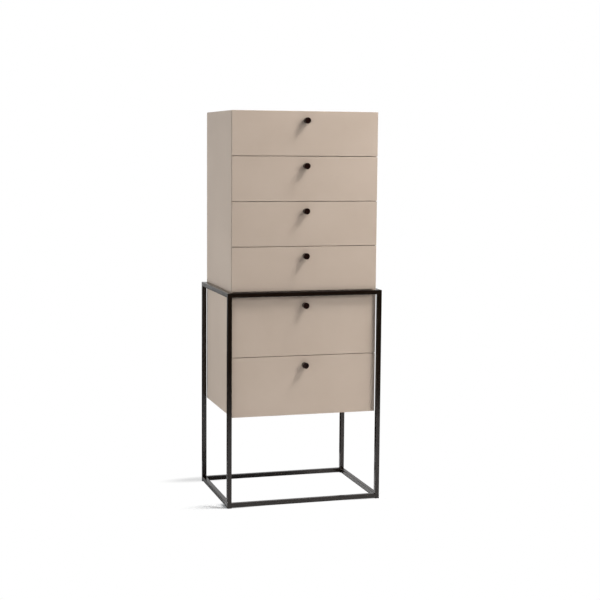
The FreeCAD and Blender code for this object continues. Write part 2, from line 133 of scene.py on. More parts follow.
# %% [markdown]
# ## The floor
#
# The chest was photographed on a white sweep. Here the floor is a plain pale surface, not bright enough
# to flood the object with light from below. It ends a long step in front of the chest and close behind
# it, and the black tube shows where: low down the posts mirror the pale floor, and higher up the dim
# room beyond its edges. The eye sees no edge, because floor and room are both white to it.

# %% Floor
FLOOR_FRONT, FLOOR_BACK, FLOOR_HALF = -1.7, 0.5, 4.0

floor_mesh = bpy.data.meshes.new("floor")
corners = [
    (-FLOOR_HALF, FLOOR_FRONT, 0),
    (FLOOR_HALF, FLOOR_FRONT, 0),
    (FLOOR_HALF, FLOOR_BACK, 0),
    (-FLOOR_HALF, FLOOR_BACK, 0),
]
floor_mesh.from_pydata(corners, [], [(0, 1, 2, 3)])
floor = bpy.data.objects.new("floor", floor_mesh)
bpy.context.scene.collection.objects.link(floor)
print("floor", 2 * FLOOR_HALF, "m across and", FLOOR_BACK - FLOOR_FRONT, "m deep")

# %% [markdown]
# ## The eye and the mirrors
#
# A white backdrop should look white without lighting the scene as a white box would. The Light Path node
# makes that possible: it tells whether a ray comes straight from the camera or from a surface that
# mirrors. The floor and the room both ask for these two masks.

# %% Light paths
def light_paths(tree):
    """Two masks: 1 for rays from the camera, and 1 for rays that a glossy or clear surface sends on."""
    path = add_node(tree, "ShaderNodeLightPath").outputs
    mirrored = add_node(tree, "ShaderNodeMath", operation="MAXIMUM")
    join(
        tree,
        (path["Is Glossy Ray"], mirrored.inputs[0]),
        (path["Is Transmission Ray"], mirrored.inputs[1]),
    )
    return path["Is Camera Ray"], mirrored.outputs[0]


# %% [markdown]
# ## Shadow at the feet
#
# In the photograph the sweep is burnt out to white, and only short streaks of shadow are left beside the
# feet. So the eye sees the floor under a white cover, which thins out in a spot round each foot. There
# the floor's own light and shadow show through: fully at the front feet, and less at the back ones.
# The four spots come from one: folding the plane with an absolute value lays all feet on each other. A
# spot is wide and shallow, because depth is multiplied before its distance is taken.

# %% Floor surface
FLOOR_COLOUR = (0.74, 0.74, 0.74, 1)
WHITE = (1, 1, 1, 1)
SPOT_BEHIND = 0.026
SPOT_FLATTENED = (1.0, 3.6, 1.0)
SPOT_BARE, SPOT_COVERED = 0.04, 0.18
COVER_AT_FRONT, COVER_AT_BACK = 0.0, 0.62
COVER_MIRRORED = 0.04

front_foot = sum(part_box("frame_post_front_right"), Vector()) / 2
back_foot = sum(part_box("frame_post_back_right"), Vector()) / 2
half_depth = (back_foot.y - front_foot.y) / 2
spot_centre = (0.0, front_foot.y + half_depth + SPOT_BEHIND, 0.0)


def feet_cover(tree):
    """How much of the floor the white cover hides: least at the feet, and all of it a step away."""
    place = add_node(tree, "ShaderNodeTexCoord")
    centred = add_node(tree, "ShaderNodeVectorMath", {1: spot_centre}, operation="SUBTRACT")
    folded = add_node(tree, "ShaderNodeVectorMath", operation="ABSOLUTE")
    from_foot = add_node(
        tree, "ShaderNodeVectorMath", {1: (back_foot.x, half_depth, 0.0)}, operation="SUBTRACT"
    )
    flattened = add_node(tree, "ShaderNodeVectorMath", {1: SPOT_FLATTENED}, operation="MULTIPLY")
    distance = add_node(tree, "ShaderNodeVectorMath", operation="LENGTH")
    axes = add_node(tree, "ShaderNodeSeparateXYZ")
    least = add_node(
        tree,
        "ShaderNodeMapRange",
        {
            "From Min": front_foot.y,
            "From Max": back_foot.y,
            "To Min": COVER_AT_FRONT,
            "To Max": COVER_AT_BACK,
        },
    )
    cover = add_node(
        tree,
        "ShaderNodeMapRange",
        {"From Min": SPOT_BARE, "From Max": SPOT_COVERED},
        interpolation_type="SMOOTHSTEP",
    )
    join(
        tree,
        (place.outputs["Object"], centred.inputs[0]),
        (centred.outputs["Vector"], folded.inputs[0]),
        (folded.outputs["Vector"], from_foot.inputs[0]),
        (from_foot.outputs["Vector"], flattened.inputs[0]),
        (flattened.outputs["Vector"], distance.inputs[0]),
        (distance.outputs["Value"], cover.inputs["Value"]),
        (place.outputs["Object"], axes.inputs[0]),
        (axes.outputs["Y"], least.inputs["Value"]),
        (least.outputs["Result"], cover.inputs["To Min"]),
    )
    return cover.outputs["Result"]


floor_material = bpy.data.materials.new("white_sweep")
floor_material.use_nodes = True
tree = floor_material.node_tree
tree.nodes.clear()
by_eye, by_mirror = light_paths(tree)
to_eye = add_node(tree, "ShaderNodeMath", operation="MULTIPLY")
to_both = add_node(tree, "ShaderNodeMath", {1: COVER_MIRRORED}, operation="MULTIPLY_ADD")
matte = add_node(tree, "ShaderNodeBsdfDiffuse", {"Color": FLOOR_COLOUR})
white_cover = add_node(tree, "ShaderNodeEmission", {"Color": WHITE, "Strength": 1.0})
covered = add_node(tree, "ShaderNodeMixShader")
surface = add_node(tree, "ShaderNodeOutputMaterial")
join(
    tree,
    (feet_cover(tree), to_eye.inputs[0]),
    (by_eye, to_eye.inputs[1]),
    (by_mirror, to_both.inputs[0]),
    (to_eye.outputs[0], to_both.inputs[2]),
    (to_both.outputs[0], covered.inputs["Fac"]),
    (matte.outputs[0], covered.inputs[1]),
    (white_cover.outputs[0], covered.inputs[2]),
    (covered.outputs[0], surface.inputs["Surface"]),
)
floor_mesh.materials.append(floor_material)
print("spots of shadow round", tuple(round(v, 3) for v in spot_centre))

# %% [markdown]
# ## The room
#
# The eye sees white all round. What the surfaces see is a room. The lacquer is lit by one that is bright
# on the left and behind the chest, and dark behind the camera. The black tube tells more, because it
# mirrors: its front faces are deep black, while faces that look up, and the outer face of the top rail,
# are grey. So mirrors see a bright wall behind the chest that fades out just below the horizon. Each of
# the two is a smooth step over one dot product, which keeps the light soft.

# %% Room
ROOM_BRIGHT = 0.20
ROOM_TURN = (-0.55, 0.75, 0.35)
ROOM_FROM, ROOM_TO = -0.5, 0.6
WALL_BRIGHT = 0.65
WALL_TURN = (0.0, 0.3, 1.0)
WALL_FROM, WALL_TO = 0.12, 0.21


def glow(tree, turn, start, end, bright):
    """Rises from 0 to bright as rays turn: a smooth step over the dot product of ray and turn."""
    ray = add_node(tree, "ShaderNodeTexCoord")
    facing = add_node(tree, "ShaderNodeVectorMath", {1: turn}, operation="DOT_PRODUCT")
    step = add_node(
        tree,
        "ShaderNodeMapRange",
        {"From Min": start, "From Max": end, "To Max": bright},
        interpolation_type="SMOOTHSTEP",
    )
    join(
        tree,
        (ray.outputs["Generated"], facing.inputs[0]),
        (facing.outputs["Value"], step.inputs["Value"]),
    )
    return step.outputs["Result"]


world = bpy.data.worlds.new("studio")
bpy.context.scene.world = world
world.use_nodes = True
tree = world.node_tree
tree.nodes.clear()
by_eye, by_mirror = light_paths(tree)
to_mirror = add_node(tree, "ShaderNodeMix", data_type="FLOAT")
to_eye = add_node(tree, "ShaderNodeMix", {"B": 1.0}, data_type="FLOAT")
background = add_node(tree, "ShaderNodeBackground", {"Color": WHITE})
surface = add_node(tree, "ShaderNodeOutputWorld")
join(
    tree,
    (by_mirror, to_mirror.inputs["Factor"]),
    (glow(tree, ROOM_TURN, ROOM_FROM, ROOM_TO, ROOM_BRIGHT), to_mirror.inputs["A"]),
    (glow(tree, WALL_TURN, WALL_FROM, WALL_TO, WALL_BRIGHT), to_mirror.inputs["B"]),
    (by_eye, to_eye.inputs["Factor"]),
    (to_mirror.outputs["Result"], to_eye.inputs["A"]),
    (to_eye.outputs["Result"], background.inputs["Strength"]),
    (background.outputs[0], surface.inputs["Surface"]),
)
print("room up to", ROOM_BRIGHT, "and a mirrored wall up to", WALL_BRIGHT)

# %% [markdown]
# ## The lamps
#
# The shadows tell where the lamps stood. Each knob throws a slanting one, about as far down as to the
# left, so the main lamp hung high on the right and only a little in front: it rakes across the drawers.
# A panel lower on the right lightens the fronts and softens that shadow. Two weak and slightly cool
# panels on the left light the side that faces the camera, and a weaker one behind lights the back.
# Area lamps are used because their size sets how soft a shadow is. No surface mirrors them, or the
# satin top would burn out seen against the light.

# %% Lamps
AIM = Vector((0.0, -0.1, 0.75))
NEUTRAL = (1.0, 1.0, 1.0)
COOL = (0.89, 0.95, 1.0)
# For each lamp: direction from the aim, distance, size, watts and colour.
LAMPS = {
    "key_lamp": ((0.50, -0.26, 0.825), 3.4, 1.2, 172, NEUTRAL),
    "right_panel": ((0.74, -0.56, 0.38), 3.2, 1.0, 49, NEUTRAL),
    "left_panel": ((-1.0, 0.25, -0.10), 2.8, 2.0, 56, COOL),
    "left_front": ((-0.60, -0.75, 0.30), 3.5, 2.0, 22, COOL),
    "back_fill": ((0.25, 0.95, 0.15), 3.2, 2.0, 15, NEUTRAL),
}


def softbox(name, direction, distance, size, watts, colour):
    """A square area lamp that stands off from the aim along a direction and faces back at it."""
    data = bpy.data.lights.new(name, "AREA")
    data.shape = "SQUARE"
    data.size = size
    data.energy = watts
    data.color = colour
    lamp = bpy.data.objects.new(name, data)
    away = Vector(direction).normalized()
    lamp.location = AIM + away * distance
    lamp.rotation_euler = away.to_track_quat("Z", "Y").to_euler()
    lamp.visible_glossy = False
    bpy.context.scene.collection.objects.link(lamp)
    return lamp


lamps = [softbox(name, *setting) for name, setting in LAMPS.items()]
print([lamp.name for lamp in lamps])

# %% [markdown]
# ## Node groups: effects that several finishes share
#
# A sprayed coat, a rubbed edge and the figure of wood each turn up in more than one finish. Each is
# built once as a node group, with inputs for its scale, and put into every material that needs it. A
# group gives out plain masks and heights between 0 and 1, so the material decides what they colour or
# raise.

# %% Start a node group
def start_group(name, inputs, outputs):
    """Opens a node group. A tuple among the input defaults makes a vector socket, a number a number."""
    group = bpy.data.node_groups.new(name, "ShaderNodeTree")
    for label, default in inputs.items():
        kind = "NodeSocketVector" if isinstance(default, tuple) else "NodeSocketFloat"
        group.interface.new_socket(label, in_out="INPUT", socket_type=kind).default_value = default
    for label in outputs:
        group.interface.new_socket(label, in_out="OUTPUT", socket_type="NodeSocketFloat")
    given = add_node(group, "NodeGroupInput").outputs
    wanted = add_node(group, "NodeGroupOutput").inputs
    return group, given, wanted


def spread(tree, value, low, high):
    """Stretches a value so that low becomes 0 and high becomes 1, held between them."""
    node = add_node(tree, "ShaderNodeMapRange", {"From Min": low, "From Max": high})
    join(tree, (value, node.inputs["Value"]))
    return node.outputs["Result"]


# %% [markdown]
# ### The sprayed coat
#
# Sprayed lacquer and powder coat both dry to a fine skin of bumps, and both vary a little in tone over
# a hand's breadth. Two noises of very different scale give that: a slow one called Cloud and a fine one
# called Peel. Their scales are counts per metre, because Object coordinates here are metres.

# %% Sprayed coat
NOISE_LOW, NOISE_HIGH = 0.32, 0.68

sprayed_coat, given, wanted = start_group(
    "sprayed_coat", {"Cloud Scale": 4.0, "Peel Scale": 700.0}, ("Cloud", "Peel")
)
place = add_node(sprayed_coat, "ShaderNodeTexCoord")
cloud = add_node(sprayed_coat, "ShaderNodeTexNoise", {"Detail": 3.0, "Roughness": 0.55})
peel = add_node(sprayed_coat, "ShaderNodeTexNoise", {"Detail": 2.0, "Roughness": 0.5})
join(
    sprayed_coat,
    (place.outputs["Object"], cloud.inputs["Vector"]),
    (given["Cloud Scale"], cloud.inputs["Scale"]),
    (place.outputs["Object"], peel.inputs["Vector"]),
    (given["Peel Scale"], peel.inputs["Scale"]),
    (spread(sprayed_coat, cloud.outputs["Fac"], NOISE_LOW, NOISE_HIGH), wanted["Cloud"]),
    (spread(sprayed_coat, peel.outputs["Fac"], NOISE_LOW, NOISE_HIGH), wanted["Peel"]),
)
print(sprayed_coat.name, [node.name for node in sprayed_coat.nodes])

# %% [markdown]
# ### The rubbed edge
#
# Hands and cloths polish the edges of painted furniture first. The Bevel node gives the normal that an
# edge would have if it were rounded; where that leaves the true normal, an edge is near. A noise breaks
# the line up, because wear is never even.

# %% Rubbed edge
EDGE_FLAT, EDGE_FULL = 0.998, 0.90

rubbed_edge, given, wanted = start_group("rubbed_edge", {"Reach": 0.001, "Patch Scale": 40.0}, ("Rub",))
place = add_node(rubbed_edge, "ShaderNodeTexCoord")
rounded = add_node(rubbed_edge, "ShaderNodeBevel", samples=4)
true_surface = add_node(rubbed_edge, "ShaderNodeNewGeometry")
agree = add_node(rubbed_edge, "ShaderNodeVectorMath", operation="DOT_PRODUCT")
patch = add_node(rubbed_edge, "ShaderNodeTexNoise", {"Detail": 3.0})
broken = add_node(rubbed_edge, "ShaderNodeMath", operation="MULTIPLY")
join(
    rubbed_edge,
    (given["Reach"], rounded.inputs["Radius"]),
    (rounded.outputs["Normal"], agree.inputs[0]),
    (true_surface.outputs["Normal"], agree.inputs[1]),
    (place.outputs["Object"], patch.inputs["Vector"]),
    (given["Patch Scale"], patch.inputs["Scale"]),
    (spread(rubbed_edge, agree.outputs["Value"], EDGE_FLAT, EDGE_FULL), broken.inputs[0]),
    (spread(rubbed_edge, patch.outputs["Fac"], NOISE_LOW, NOISE_HIGH), broken.inputs[1]),
    (broken.outputs[0], wanted["Rub"]),
)
print(rubbed_edge.name, [node.name for node in rubbed_edge.nodes])

# %% [markdown]
# ### The figure of wood
#
# The drawer boxes and runners are bare wood. Birch and beech have a quiet figure: pale growth bands
# that run with the board, and short fine pores. Both are noises stretched along X, and the material
# turns the coordinates first so that X is the way its board runs.

# %% Wood figure
BAND_STRETCH = (0.05, 1.0, 1.0)
PORE_STRETCH = (0.03, 1.0, 1.0)

wood_figure, given, wanted = start_group(
    "wood_figure", {"Place": (0.0, 0.0, 0.0), "Band Scale": 60.0, "Pore Scale": 1100.0}, ("Bands", "Pores")
)
long_bands = add_node(wood_figure, "ShaderNodeVectorMath", {1: BAND_STRETCH}, operation="MULTIPLY")
bands = add_node(wood_figure, "ShaderNodeTexNoise", {"Detail": 3.0, "Distortion": 0.8})
long_pores = add_node(wood_figure, "ShaderNodeVectorMath", {1: PORE_STRETCH}, operation="MULTIPLY")
pores = add_node(wood_figure, "ShaderNodeTexNoise", {"Detail": 1.0})
join(
    wood_figure,
    (given["Place"], long_bands.inputs[0]),
    (long_bands.outputs["Vector"], bands.inputs["Vector"]),
    (given["Band Scale"], bands.inputs["Scale"]),
    (given["Place"], long_pores.inputs[0]),
    (long_pores.outputs["Vector"], pores.inputs["Vector"]),
    (given["Pore Scale"], pores.inputs["Scale"]),
    (spread(wood_figure, bands.outputs["Fac"], NOISE_LOW, NOISE_HIGH), wanted["Bands"]),
    (spread(wood_figure, pores.outputs["Fac"], NOISE_LOW, NOISE_HIGH), wanted["Pores"]),
)
print(wood_figure.name, [node.name for node in wood_figure.nodes])

# %% [markdown]
# ## Helpers for finishes
#
# A finish starts as one shader with its plain values set on its own sockets. Masks from the groups then
# mix two colours, move the roughness between two values, or press a bump into the surface.

# %% Finish helpers
def start_finish(name, plain_values):
    """Opens a material and sets the values that are the same all over its surface."""
    material = bpy.data.materials.new(name)
    material.use_nodes = True
    shader = material.node_tree.nodes["Principled BSDF"]
    for socket, value in plain_values.items():
        shader.inputs[socket].default_value = value
    return material, material.node_tree, shader


def place_group(tree, group, values=None):
    """Puts a node group into a material and returns its outputs."""
    return add_node(tree, "ShaderNodeGroup", values, node_tree=group).outputs


def mix_colours(tree, mask, first, second):
    """A colour that goes from first to second with a mask; each is a colour or an output socket."""
    node = add_node(tree, "ShaderNodeMix", data_type="RGBA")
    join(tree, (mask, node.inputs["Factor"]))
    for socket, colour in (("A", first), ("B", second)):
        target = next(entry for entry in node.inputs if entry.name == socket and entry.type == "RGBA")
        if isinstance(colour, tuple):
            target.default_value = (*colour, 1)
        else:
            join(tree, (colour, target))
    return next(entry for entry in node.outputs if entry.type == "RGBA")


def between(tree, mask, low, high):
    """A value that goes from low to high as a mask goes from 0 to 1."""
    node = add_node(tree, "ShaderNodeMapRange", {"To Min": low, "To Max": high})
    join(tree, (mask, node.inputs["Value"]))
    return node.outputs["Result"]


def press_bump(tree, shader, height, strength, depth):
    """Presses a height between 0 and 1, depth metres deep, into the shader's normal."""
    bump = add_node(tree, "ShaderNodeBump", {"Strength": strength, "Distance": depth})
    join(tree, (height, bump.inputs["Height"]), (bump.outputs["Normal"], shader.inputs["Normal"]))


# %% [markdown]
# ## Satin lacquer
#
# The boards and fronts are sprayed a warm grey-brown and rubbed down to a satin that shows no wood
# grain. Up close there is only the soft skin of the spray, a tone that drifts by a few percent, and
# edges where the coat is thinner and paler. The tones are linear values, settled by comparing renders
# with the photograph.

# %% Lacquer
LACQUER_DEEP = (0.452, 0.362, 0.292)
LACQUER_PALE = (0.482, 0.390, 0.318)
LACQUER_THIN = (0.56, 0.47, 0.39)
LACQUER_ROUGHNESS = (0.53, 0.60)
LACQUER_BUMP = {"strength": 0.10, "depth": 0.0002}


def satin_lacquer():
    """Sprayed satin: a tone that drifts, a fine peel, and edges rubbed a little paler."""
    material, tree, shader = start_finish("satin_lacquer", {"Specular IOR Level": 0.32})
    coat = place_group(tree, sprayed_coat, {"Cloud Scale": 5.0, "Peel Scale": 620.0})
    edge = place_group(tree, rubbed_edge, {"Reach": 0.0011, "Patch Scale": 35.0})
    body_colour = mix_colours(tree, coat["Cloud"], LACQUER_DEEP, LACQUER_PALE)
    join(
        tree,
        (mix_colours(tree, edge["Rub"], body_colour, LACQUER_THIN), shader.inputs["Base Color"]),
        (between(tree, coat["Cloud"], *LACQUER_ROUGHNESS), shader.inputs["Roughness"]),
    )
    press_bump(tree, shader, coat["Peel"], **LACQUER_BUMP)
    return material


lacquer = satin_lacquer()
print(lacquer.name)

# %% [markdown]
# ## Black steel
#
# The tube is coated with a fine black powder that melts into a close, slightly rough skin. The black is
# warm. Its edges, where the powder draws thin, are smoother and catch more light, and that thin bright
# line is what makes the frame read as metal.

# %% Powder coat
POWDER_DEEP = (0.0080, 0.0042, 0.0024)
POWDER_PALE = (0.0108, 0.0066, 0.0044)
POWDER_THIN = (0.014, 0.011, 0.009)
POWDER_ROUGHNESS = (0.18, 0.15)
POWDER_BUMP = {"strength": 0.12, "depth": 0.00010}


def powder_coat():
    """Fine black powder coat: a close grain of bumps and smoother, paler edges."""
    material, tree, shader = start_finish("powder_coat", {"Specular IOR Level": 0.42})
    coat = place_group(tree, sprayed_coat, {"Cloud Scale": 22.0, "Peel Scale": 1500.0})
    edge = place_group(tree, rubbed_edge, {"Reach": 0.0012, "Patch Scale": 70.0})
    body_colour = mix_colours(tree, coat["Cloud"], POWDER_DEEP, POWDER_PALE)
    join(
        tree,
        (mix_colours(tree, edge["Rub"], body_colour, POWDER_THIN), shader.inputs["Base Color"]),
        (between(tree, edge["Rub"], *POWDER_ROUGHNESS), shader.inputs["Roughness"]),
    )
    press_bump(tree, shader, coat["Peel"], **POWDER_BUMP)
    return material


steel_black = powder_coat()
print(steel_black.name)

# %% [markdown]
# ## Turned black
#
# The knobs are turned on a lathe and blackened. The tool leaves rings so fine that they only stretch
# the highlight. The knob's mesh carries the distance along its outline as an attribute, and a sine of
# that distance gives rings that run round the face and along the side alike.

# %% Turned black
RING_PITCH = 0.0005
TURNED_DEEP = (0.0080, 0.0026, 0.0018)
TURNED_PALE = (0.0115, 0.0046, 0.0034)
TURNED_ROUGHNESS = (0.22, 0.28)
TURNED_BUMP = {"strength": 0.15, "depth": 0.00006}


def turned_black():
    """Blackened turned metal: rings from a sine of the outline's length, over a faint cloud."""
    material, tree, shader = start_finish("turned_black", {"Specular IOR Level": 0.30})
    coat = place_group(tree, sprayed_coat, {"Cloud Scale": 160.0, "Peel Scale": 2400.0})
    edge = place_group(tree, rubbed_edge, {"Reach": 0.0006, "Patch Scale": 300.0})
    length = add_node(tree, "ShaderNodeAttribute", attribute_name="outline_length")
    turns = add_node(tree, "ShaderNodeMath", {1: 2 * np.pi / RING_PITCH}, operation="MULTIPLY")
    wave = add_node(tree, "ShaderNodeMath", operation="SINE")
    rings = add_node(tree, "ShaderNodeMapRange", {"From Min": -1.0})
    body_colour = mix_colours(tree, coat["Cloud"], TURNED_DEEP, TURNED_PALE)
    join(
        tree,
        (length.outputs["Fac"], turns.inputs[0]),
        (turns.outputs[0], wave.inputs[0]),
        (wave.outputs[0], rings.inputs["Value"]),
        (mix_colours(tree, edge["Rub"], body_colour, POWDER_THIN), shader.inputs["Base Color"]),
        (between(tree, coat["Cloud"], *TURNED_ROUGHNESS), shader.inputs["Roughness"]),
    )
    press_bump(tree, shader, rings.outputs["Result"], **TURNED_BUMP)
    return material


knob_black = turned_black()
print(knob_black.name)

# %% [markdown]
# ## Bare wood
#
# Three woods are inside. The drawer sides and backs are birch, the bottoms birch plywood and the runners
# beech. All three are one recipe with other colours: growth bands mix two tones, pores darken them and
# are pressed in. A Mapping node turns the pattern to run along each board. The plywood adds its layers:
# stripes in height, shown only on faces that don't look up or down.

# %% Bare wood
ALONG_X = (0.0, 0.0, 0.0)
ALONG_Y = (0.0, 0.0, np.pi / 2)
PLY_LAYER = 0.0012
STRIPE_BLUR = 0.2
TILT_BARE, TILT_STRIPED = 0.6, 0.3
PORE_SHADE = 0.45
WOOD_ROUGHNESS = (0.50, 0.60)
WOOD_BUMP = {"strength": 0.18, "depth": 0.00012}


def layer_stripes(tree):
    """A mask of plywood layers: a sine in height, times how little the face looks up or down."""
    place = add_node(tree, "ShaderNodeTexCoord")
    height = add_node(tree, "ShaderNodeSeparateXYZ")
    turns = add_node(tree, "ShaderNodeMath", {1: np.pi / PLY_LAYER}, operation="MULTIPLY")
    wave = add_node(tree, "ShaderNodeMath", operation="SINE")
    facing = add_node(tree, "ShaderNodeNewGeometry")
    upright = add_node(tree, "ShaderNodeSeparateXYZ")
    tilt = add_node(tree, "ShaderNodeMath", operation="ABSOLUTE")
    stripes = add_node(tree, "ShaderNodeMath", operation="MULTIPLY")
    join(
        tree,
        (place.outputs["Object"], height.inputs[0]),
        (height.outputs["Z"], turns.inputs[0]),
        (turns.outputs[0], wave.inputs[0]),
        (facing.outputs["Normal"], upright.inputs[0]),
        (upright.outputs["Z"], tilt.inputs[0]),
        (spread(tree, wave.outputs[0], -STRIPE_BLUR, STRIPE_BLUR), stripes.inputs[0]),
        (spread(tree, tilt.outputs[0], TILT_BARE, TILT_STRIPED), stripes.inputs[1]),
    )
    return stripes.outputs[0]


def bare_wood(name, pale, dark, pore, turn_to, layers=None):
    """Oiled wood: bands between two tones, pores that darken and sink, and layers on a ply's edges."""
    material, tree, shader = start_finish(name, {"Specular IOR Level": 0.35})
    place = add_node(tree, "ShaderNodeTexCoord")
    mapping = add_node(tree, "ShaderNodeMapping", {"Rotation": turn_to})
    figure = add_node(tree, "ShaderNodeGroup", node_tree=wood_figure)
    join(
        tree,
        (place.outputs["Object"], mapping.inputs["Vector"]),
        (mapping.outputs["Vector"], figure.inputs["Place"]),
    )
    fine = between(tree, figure.outputs["Pores"], 0.0, PORE_SHADE)
    colour = mix_colours(tree, figure.outputs["Bands"], pale, dark)
    colour = mix_colours(tree, fine, colour, pore)
    if layers:
        colour = mix_colours(tree, layer_stripes(tree), colour, layers)
    join(
        tree,
        (colour, shader.inputs["Base Color"]),
        (between(tree, figure.outputs["Bands"], *WOOD_ROUGHNESS), shader.inputs["Roughness"]),
    )
    press_bump(tree, shader, figure.outputs["Pores"], **WOOD_BUMP)
    return material


BIRCH_TONES = ((0.72, 0.57, 0.40), (0.62, 0.46, 0.30), (0.52, 0.36, 0.22))
PLY_TONES = ((0.74, 0.60, 0.43), (0.66, 0.50, 0.34), (0.56, 0.40, 0.25))
BEECH_TONES = ((0.64, 0.44, 0.29), (0.55, 0.36, 0.22), (0.42, 0.25, 0.14))
PLY_GLUE = (0.40, 0.27, 0.16)
birch_sides = bare_wood("birch_lengthwise", *BIRCH_TONES, ALONG_Y)
birch_backs = bare_wood("birch_crosswise", *BIRCH_TONES, ALONG_X)
birch_bottoms = bare_wood("birch_plywood", *PLY_TONES, ALONG_X, PLY_GLUE)
beech_runners = bare_wood("waxed_beech", *BEECH_TONES, ALONG_Y)
print([wood.name for wood in (birch_sides, birch_backs, birch_bottoms, beech_runners)])

# %% [markdown]
# ## Metal, plastic and the back panels
#
# The rest is small or behind: zinc-plated screws, blackened bolts, painted fibreboard backs, moulded
# glides and rubber stops. Each takes the same sprayed or moulded skin at another scale. Zinc is a true
# metal with a cloudy shine, so its shader is metallic and the cloud moves its roughness.

# %% Small finishes
def skinned(name, tones, roughness, cloud_scale, peel_scale, bump, plain_values):
    """A finish of one skin: a cloud between two tones and two roughnesses, and a peel pressed in."""
    material, tree, shader = start_finish(name, plain_values)
    coat = place_group(tree, sprayed_coat, {"Cloud Scale": cloud_scale, "Peel Scale": peel_scale})
    join(
        tree,
        (mix_colours(tree, coat["Cloud"], *tones), shader.inputs["Base Color"]),
        (between(tree, coat["Cloud"], *roughness), shader.inputs["Roughness"]),
    )
    press_bump(tree, shader, coat["Peel"], **bump)
    return material


zinc = skinned(
    "zinc_plate",
    tones=((0.52, 0.52, 0.50), (0.68, 0.68, 0.66)),
    roughness=(0.28, 0.42),
    cloud_scale=180.0,
    peel_scale=2600.0,
    bump={"strength": 0.15, "depth": 0.00005},
    plain_values={"Metallic": 1.0},
)
bolt_black = skinned(
    "black_oxide",
    tones=((0.012, 0.012, 0.013), (0.030, 0.029, 0.030)),
    roughness=(0.36, 0.50),
    cloud_scale=240.0,
    peel_scale=2600.0,
    bump={"strength": 0.20, "depth": 0.00005},
    plain_values={"Specular IOR Level": 0.5},
)
back_paint = skinned(
    "painted_fibreboard",
    tones=((0.385, 0.322, 0.262), (0.425, 0.358, 0.294)),
    roughness=(0.58, 0.68),
    cloud_scale=9.0,
    peel_scale=420.0,
    bump={"strength": 0.25, "depth": 0.00025},
    plain_values={"Specular IOR Level": 0.35},
)
glide_plastic = skinned(
    "moulded_plastic",
    tones=((0.014, 0.014, 0.014), (0.024, 0.024, 0.024)),
    roughness=(0.48, 0.60),
    cloud_scale=60.0,
    peel_scale=1800.0,
    bump={"strength": 0.25, "depth": 0.00010},
    plain_values={"Specular IOR Level": 0.4},
)
stop_rubber = skinned(
    "soft_rubber",
    tones=((0.030, 0.030, 0.030), (0.055, 0.054, 0.052)),
    roughness=(0.75, 0.88),
    cloud_scale=120.0,
    peel_scale=2200.0,
    bump={"strength": 0.30, "depth": 0.00012},
    plain_values={"Specular IOR Level": 0.3},
)
print([finish.name for finish in (zinc, bolt_black, back_paint, glide_plastic, stop_rubber)])

# %% [markdown]
# ## Dress the construction
#
# The boards and drawer boxes are already the right shape, with their bevels and eased edges, so they
# keep their meshes and only change their material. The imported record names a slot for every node, and
# a table from slot to finish does the rest. The drawer backs run crosswise, so they get the birch
# that is turned that way.

# %% Dress the nodes
finish_of_slot = {
    "taupe_lacquer": lacquer,
    "black_steel": steel_black,
    "black_knob": knob_black,
    "black_bolts": bolt_black,
    "zinc_steel": zinc,
    "birch": birch_sides,
    "birch_ply": birch_bottoms,
    "beech": beech_runners,
    "back_panel": back_paint,
    "glide_plastic": glide_plastic,
    "stop_rubber": stop_rubber,
}
slot_of = {part["node"]: part["material_slot"] for part in frame["record"]["subparts"]}
for name, thing in nodes.items():
    slot = slot_of[name]
    crosswise = slot == "birch" and name.endswith("_back")
    finish = birch_backs if crosswise else finish_of_slot[slot]
    thing.data.materials.clear()
    thing.data.materials.append(finish)
print(len(slot_of), "nodes dressed")

# %% [markdown]
# ## Surfaces from arrays
#
# Every new piece here is a skin: loops of points that follow one another along a path, as a lathe or a
# rolling mill makes them. One array holds all its points, and simple index sums join them into faces.
# The loops close round, and a flat face closes each end, so the piece is a sound closed shell.

# %% Skins
SHARP_ANGLE = np.radians(38)


def lay_skin(name, points):
    """A mesh from an array of copies x loops x columns x 3 points.

    Each quad joins a point to the next column of its loop and to the same columns of the next loop.
    Columns wrap round. The first loop's cap looks back along the path and the last one's forward.
    """
    copies, loops, columns = points.shape[:3]
    number = np.arange(copies * loops * columns).reshape(copies, loops, columns)
    beside = np.roll(number, -1, axis=2)
    quads = np.stack((number[:, :-1], beside[:, :-1], beside[:, 1:], number[:, 1:]), axis=-1)
    caps = np.concatenate((number[:, 0, ::-1], number[:, -1]))
    mesh = bpy.data.meshes.new(name)
    mesh.from_pydata(points.reshape(-1, 3), [], quads.reshape(-1, 4).tolist() + caps.tolist())
    mesh.shade_smooth()
    mesh.set_sharp_from_angle(angle=SHARP_ANGLE)
    return mesh


def show_skin(mesh, finish, slot, body, *replaced):
    """Shows a skin as a piece that rides on a body in place of the nodes it stands for."""
    piece = bpy.data.objects.new(mesh.name, mesh)
    mesh.materials.append(finish)
    shading = piece.modifiers.new("even_shading", "WEIGHTED_NORMAL")
    shading.keep_sharp = True
    bpy.context.scene.collection.objects.link(piece)
    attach(piece, body)
    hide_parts(*replaced)
    return piece


# Two directions across a path and the path's own, each triple right-handed.
X, Y, Z = np.eye(3)
ACROSS_AND_ALONG = {
    "x": (Y, Z, X),
    "y": (Z, X, Y),
    "z": (X, Y, Z),
    "-x": (Z, Y, -X),
    "-y": (X, Z, -Y),
}


def carry(loop_x, loop_y, along, path, start):
    """Points = start + loop_x * first direction + loop_y * second direction + along * the path's own.

    loop_x and loop_y hold a row for each loop, and along holds one length for each.
    """
    first, second, own = ACROSS_AND_ALONG[path]
    reach = loop_x[..., None] * first + loop_y[..., None] * second + along[:, None, None] * own
    return np.asarray(start) + reach


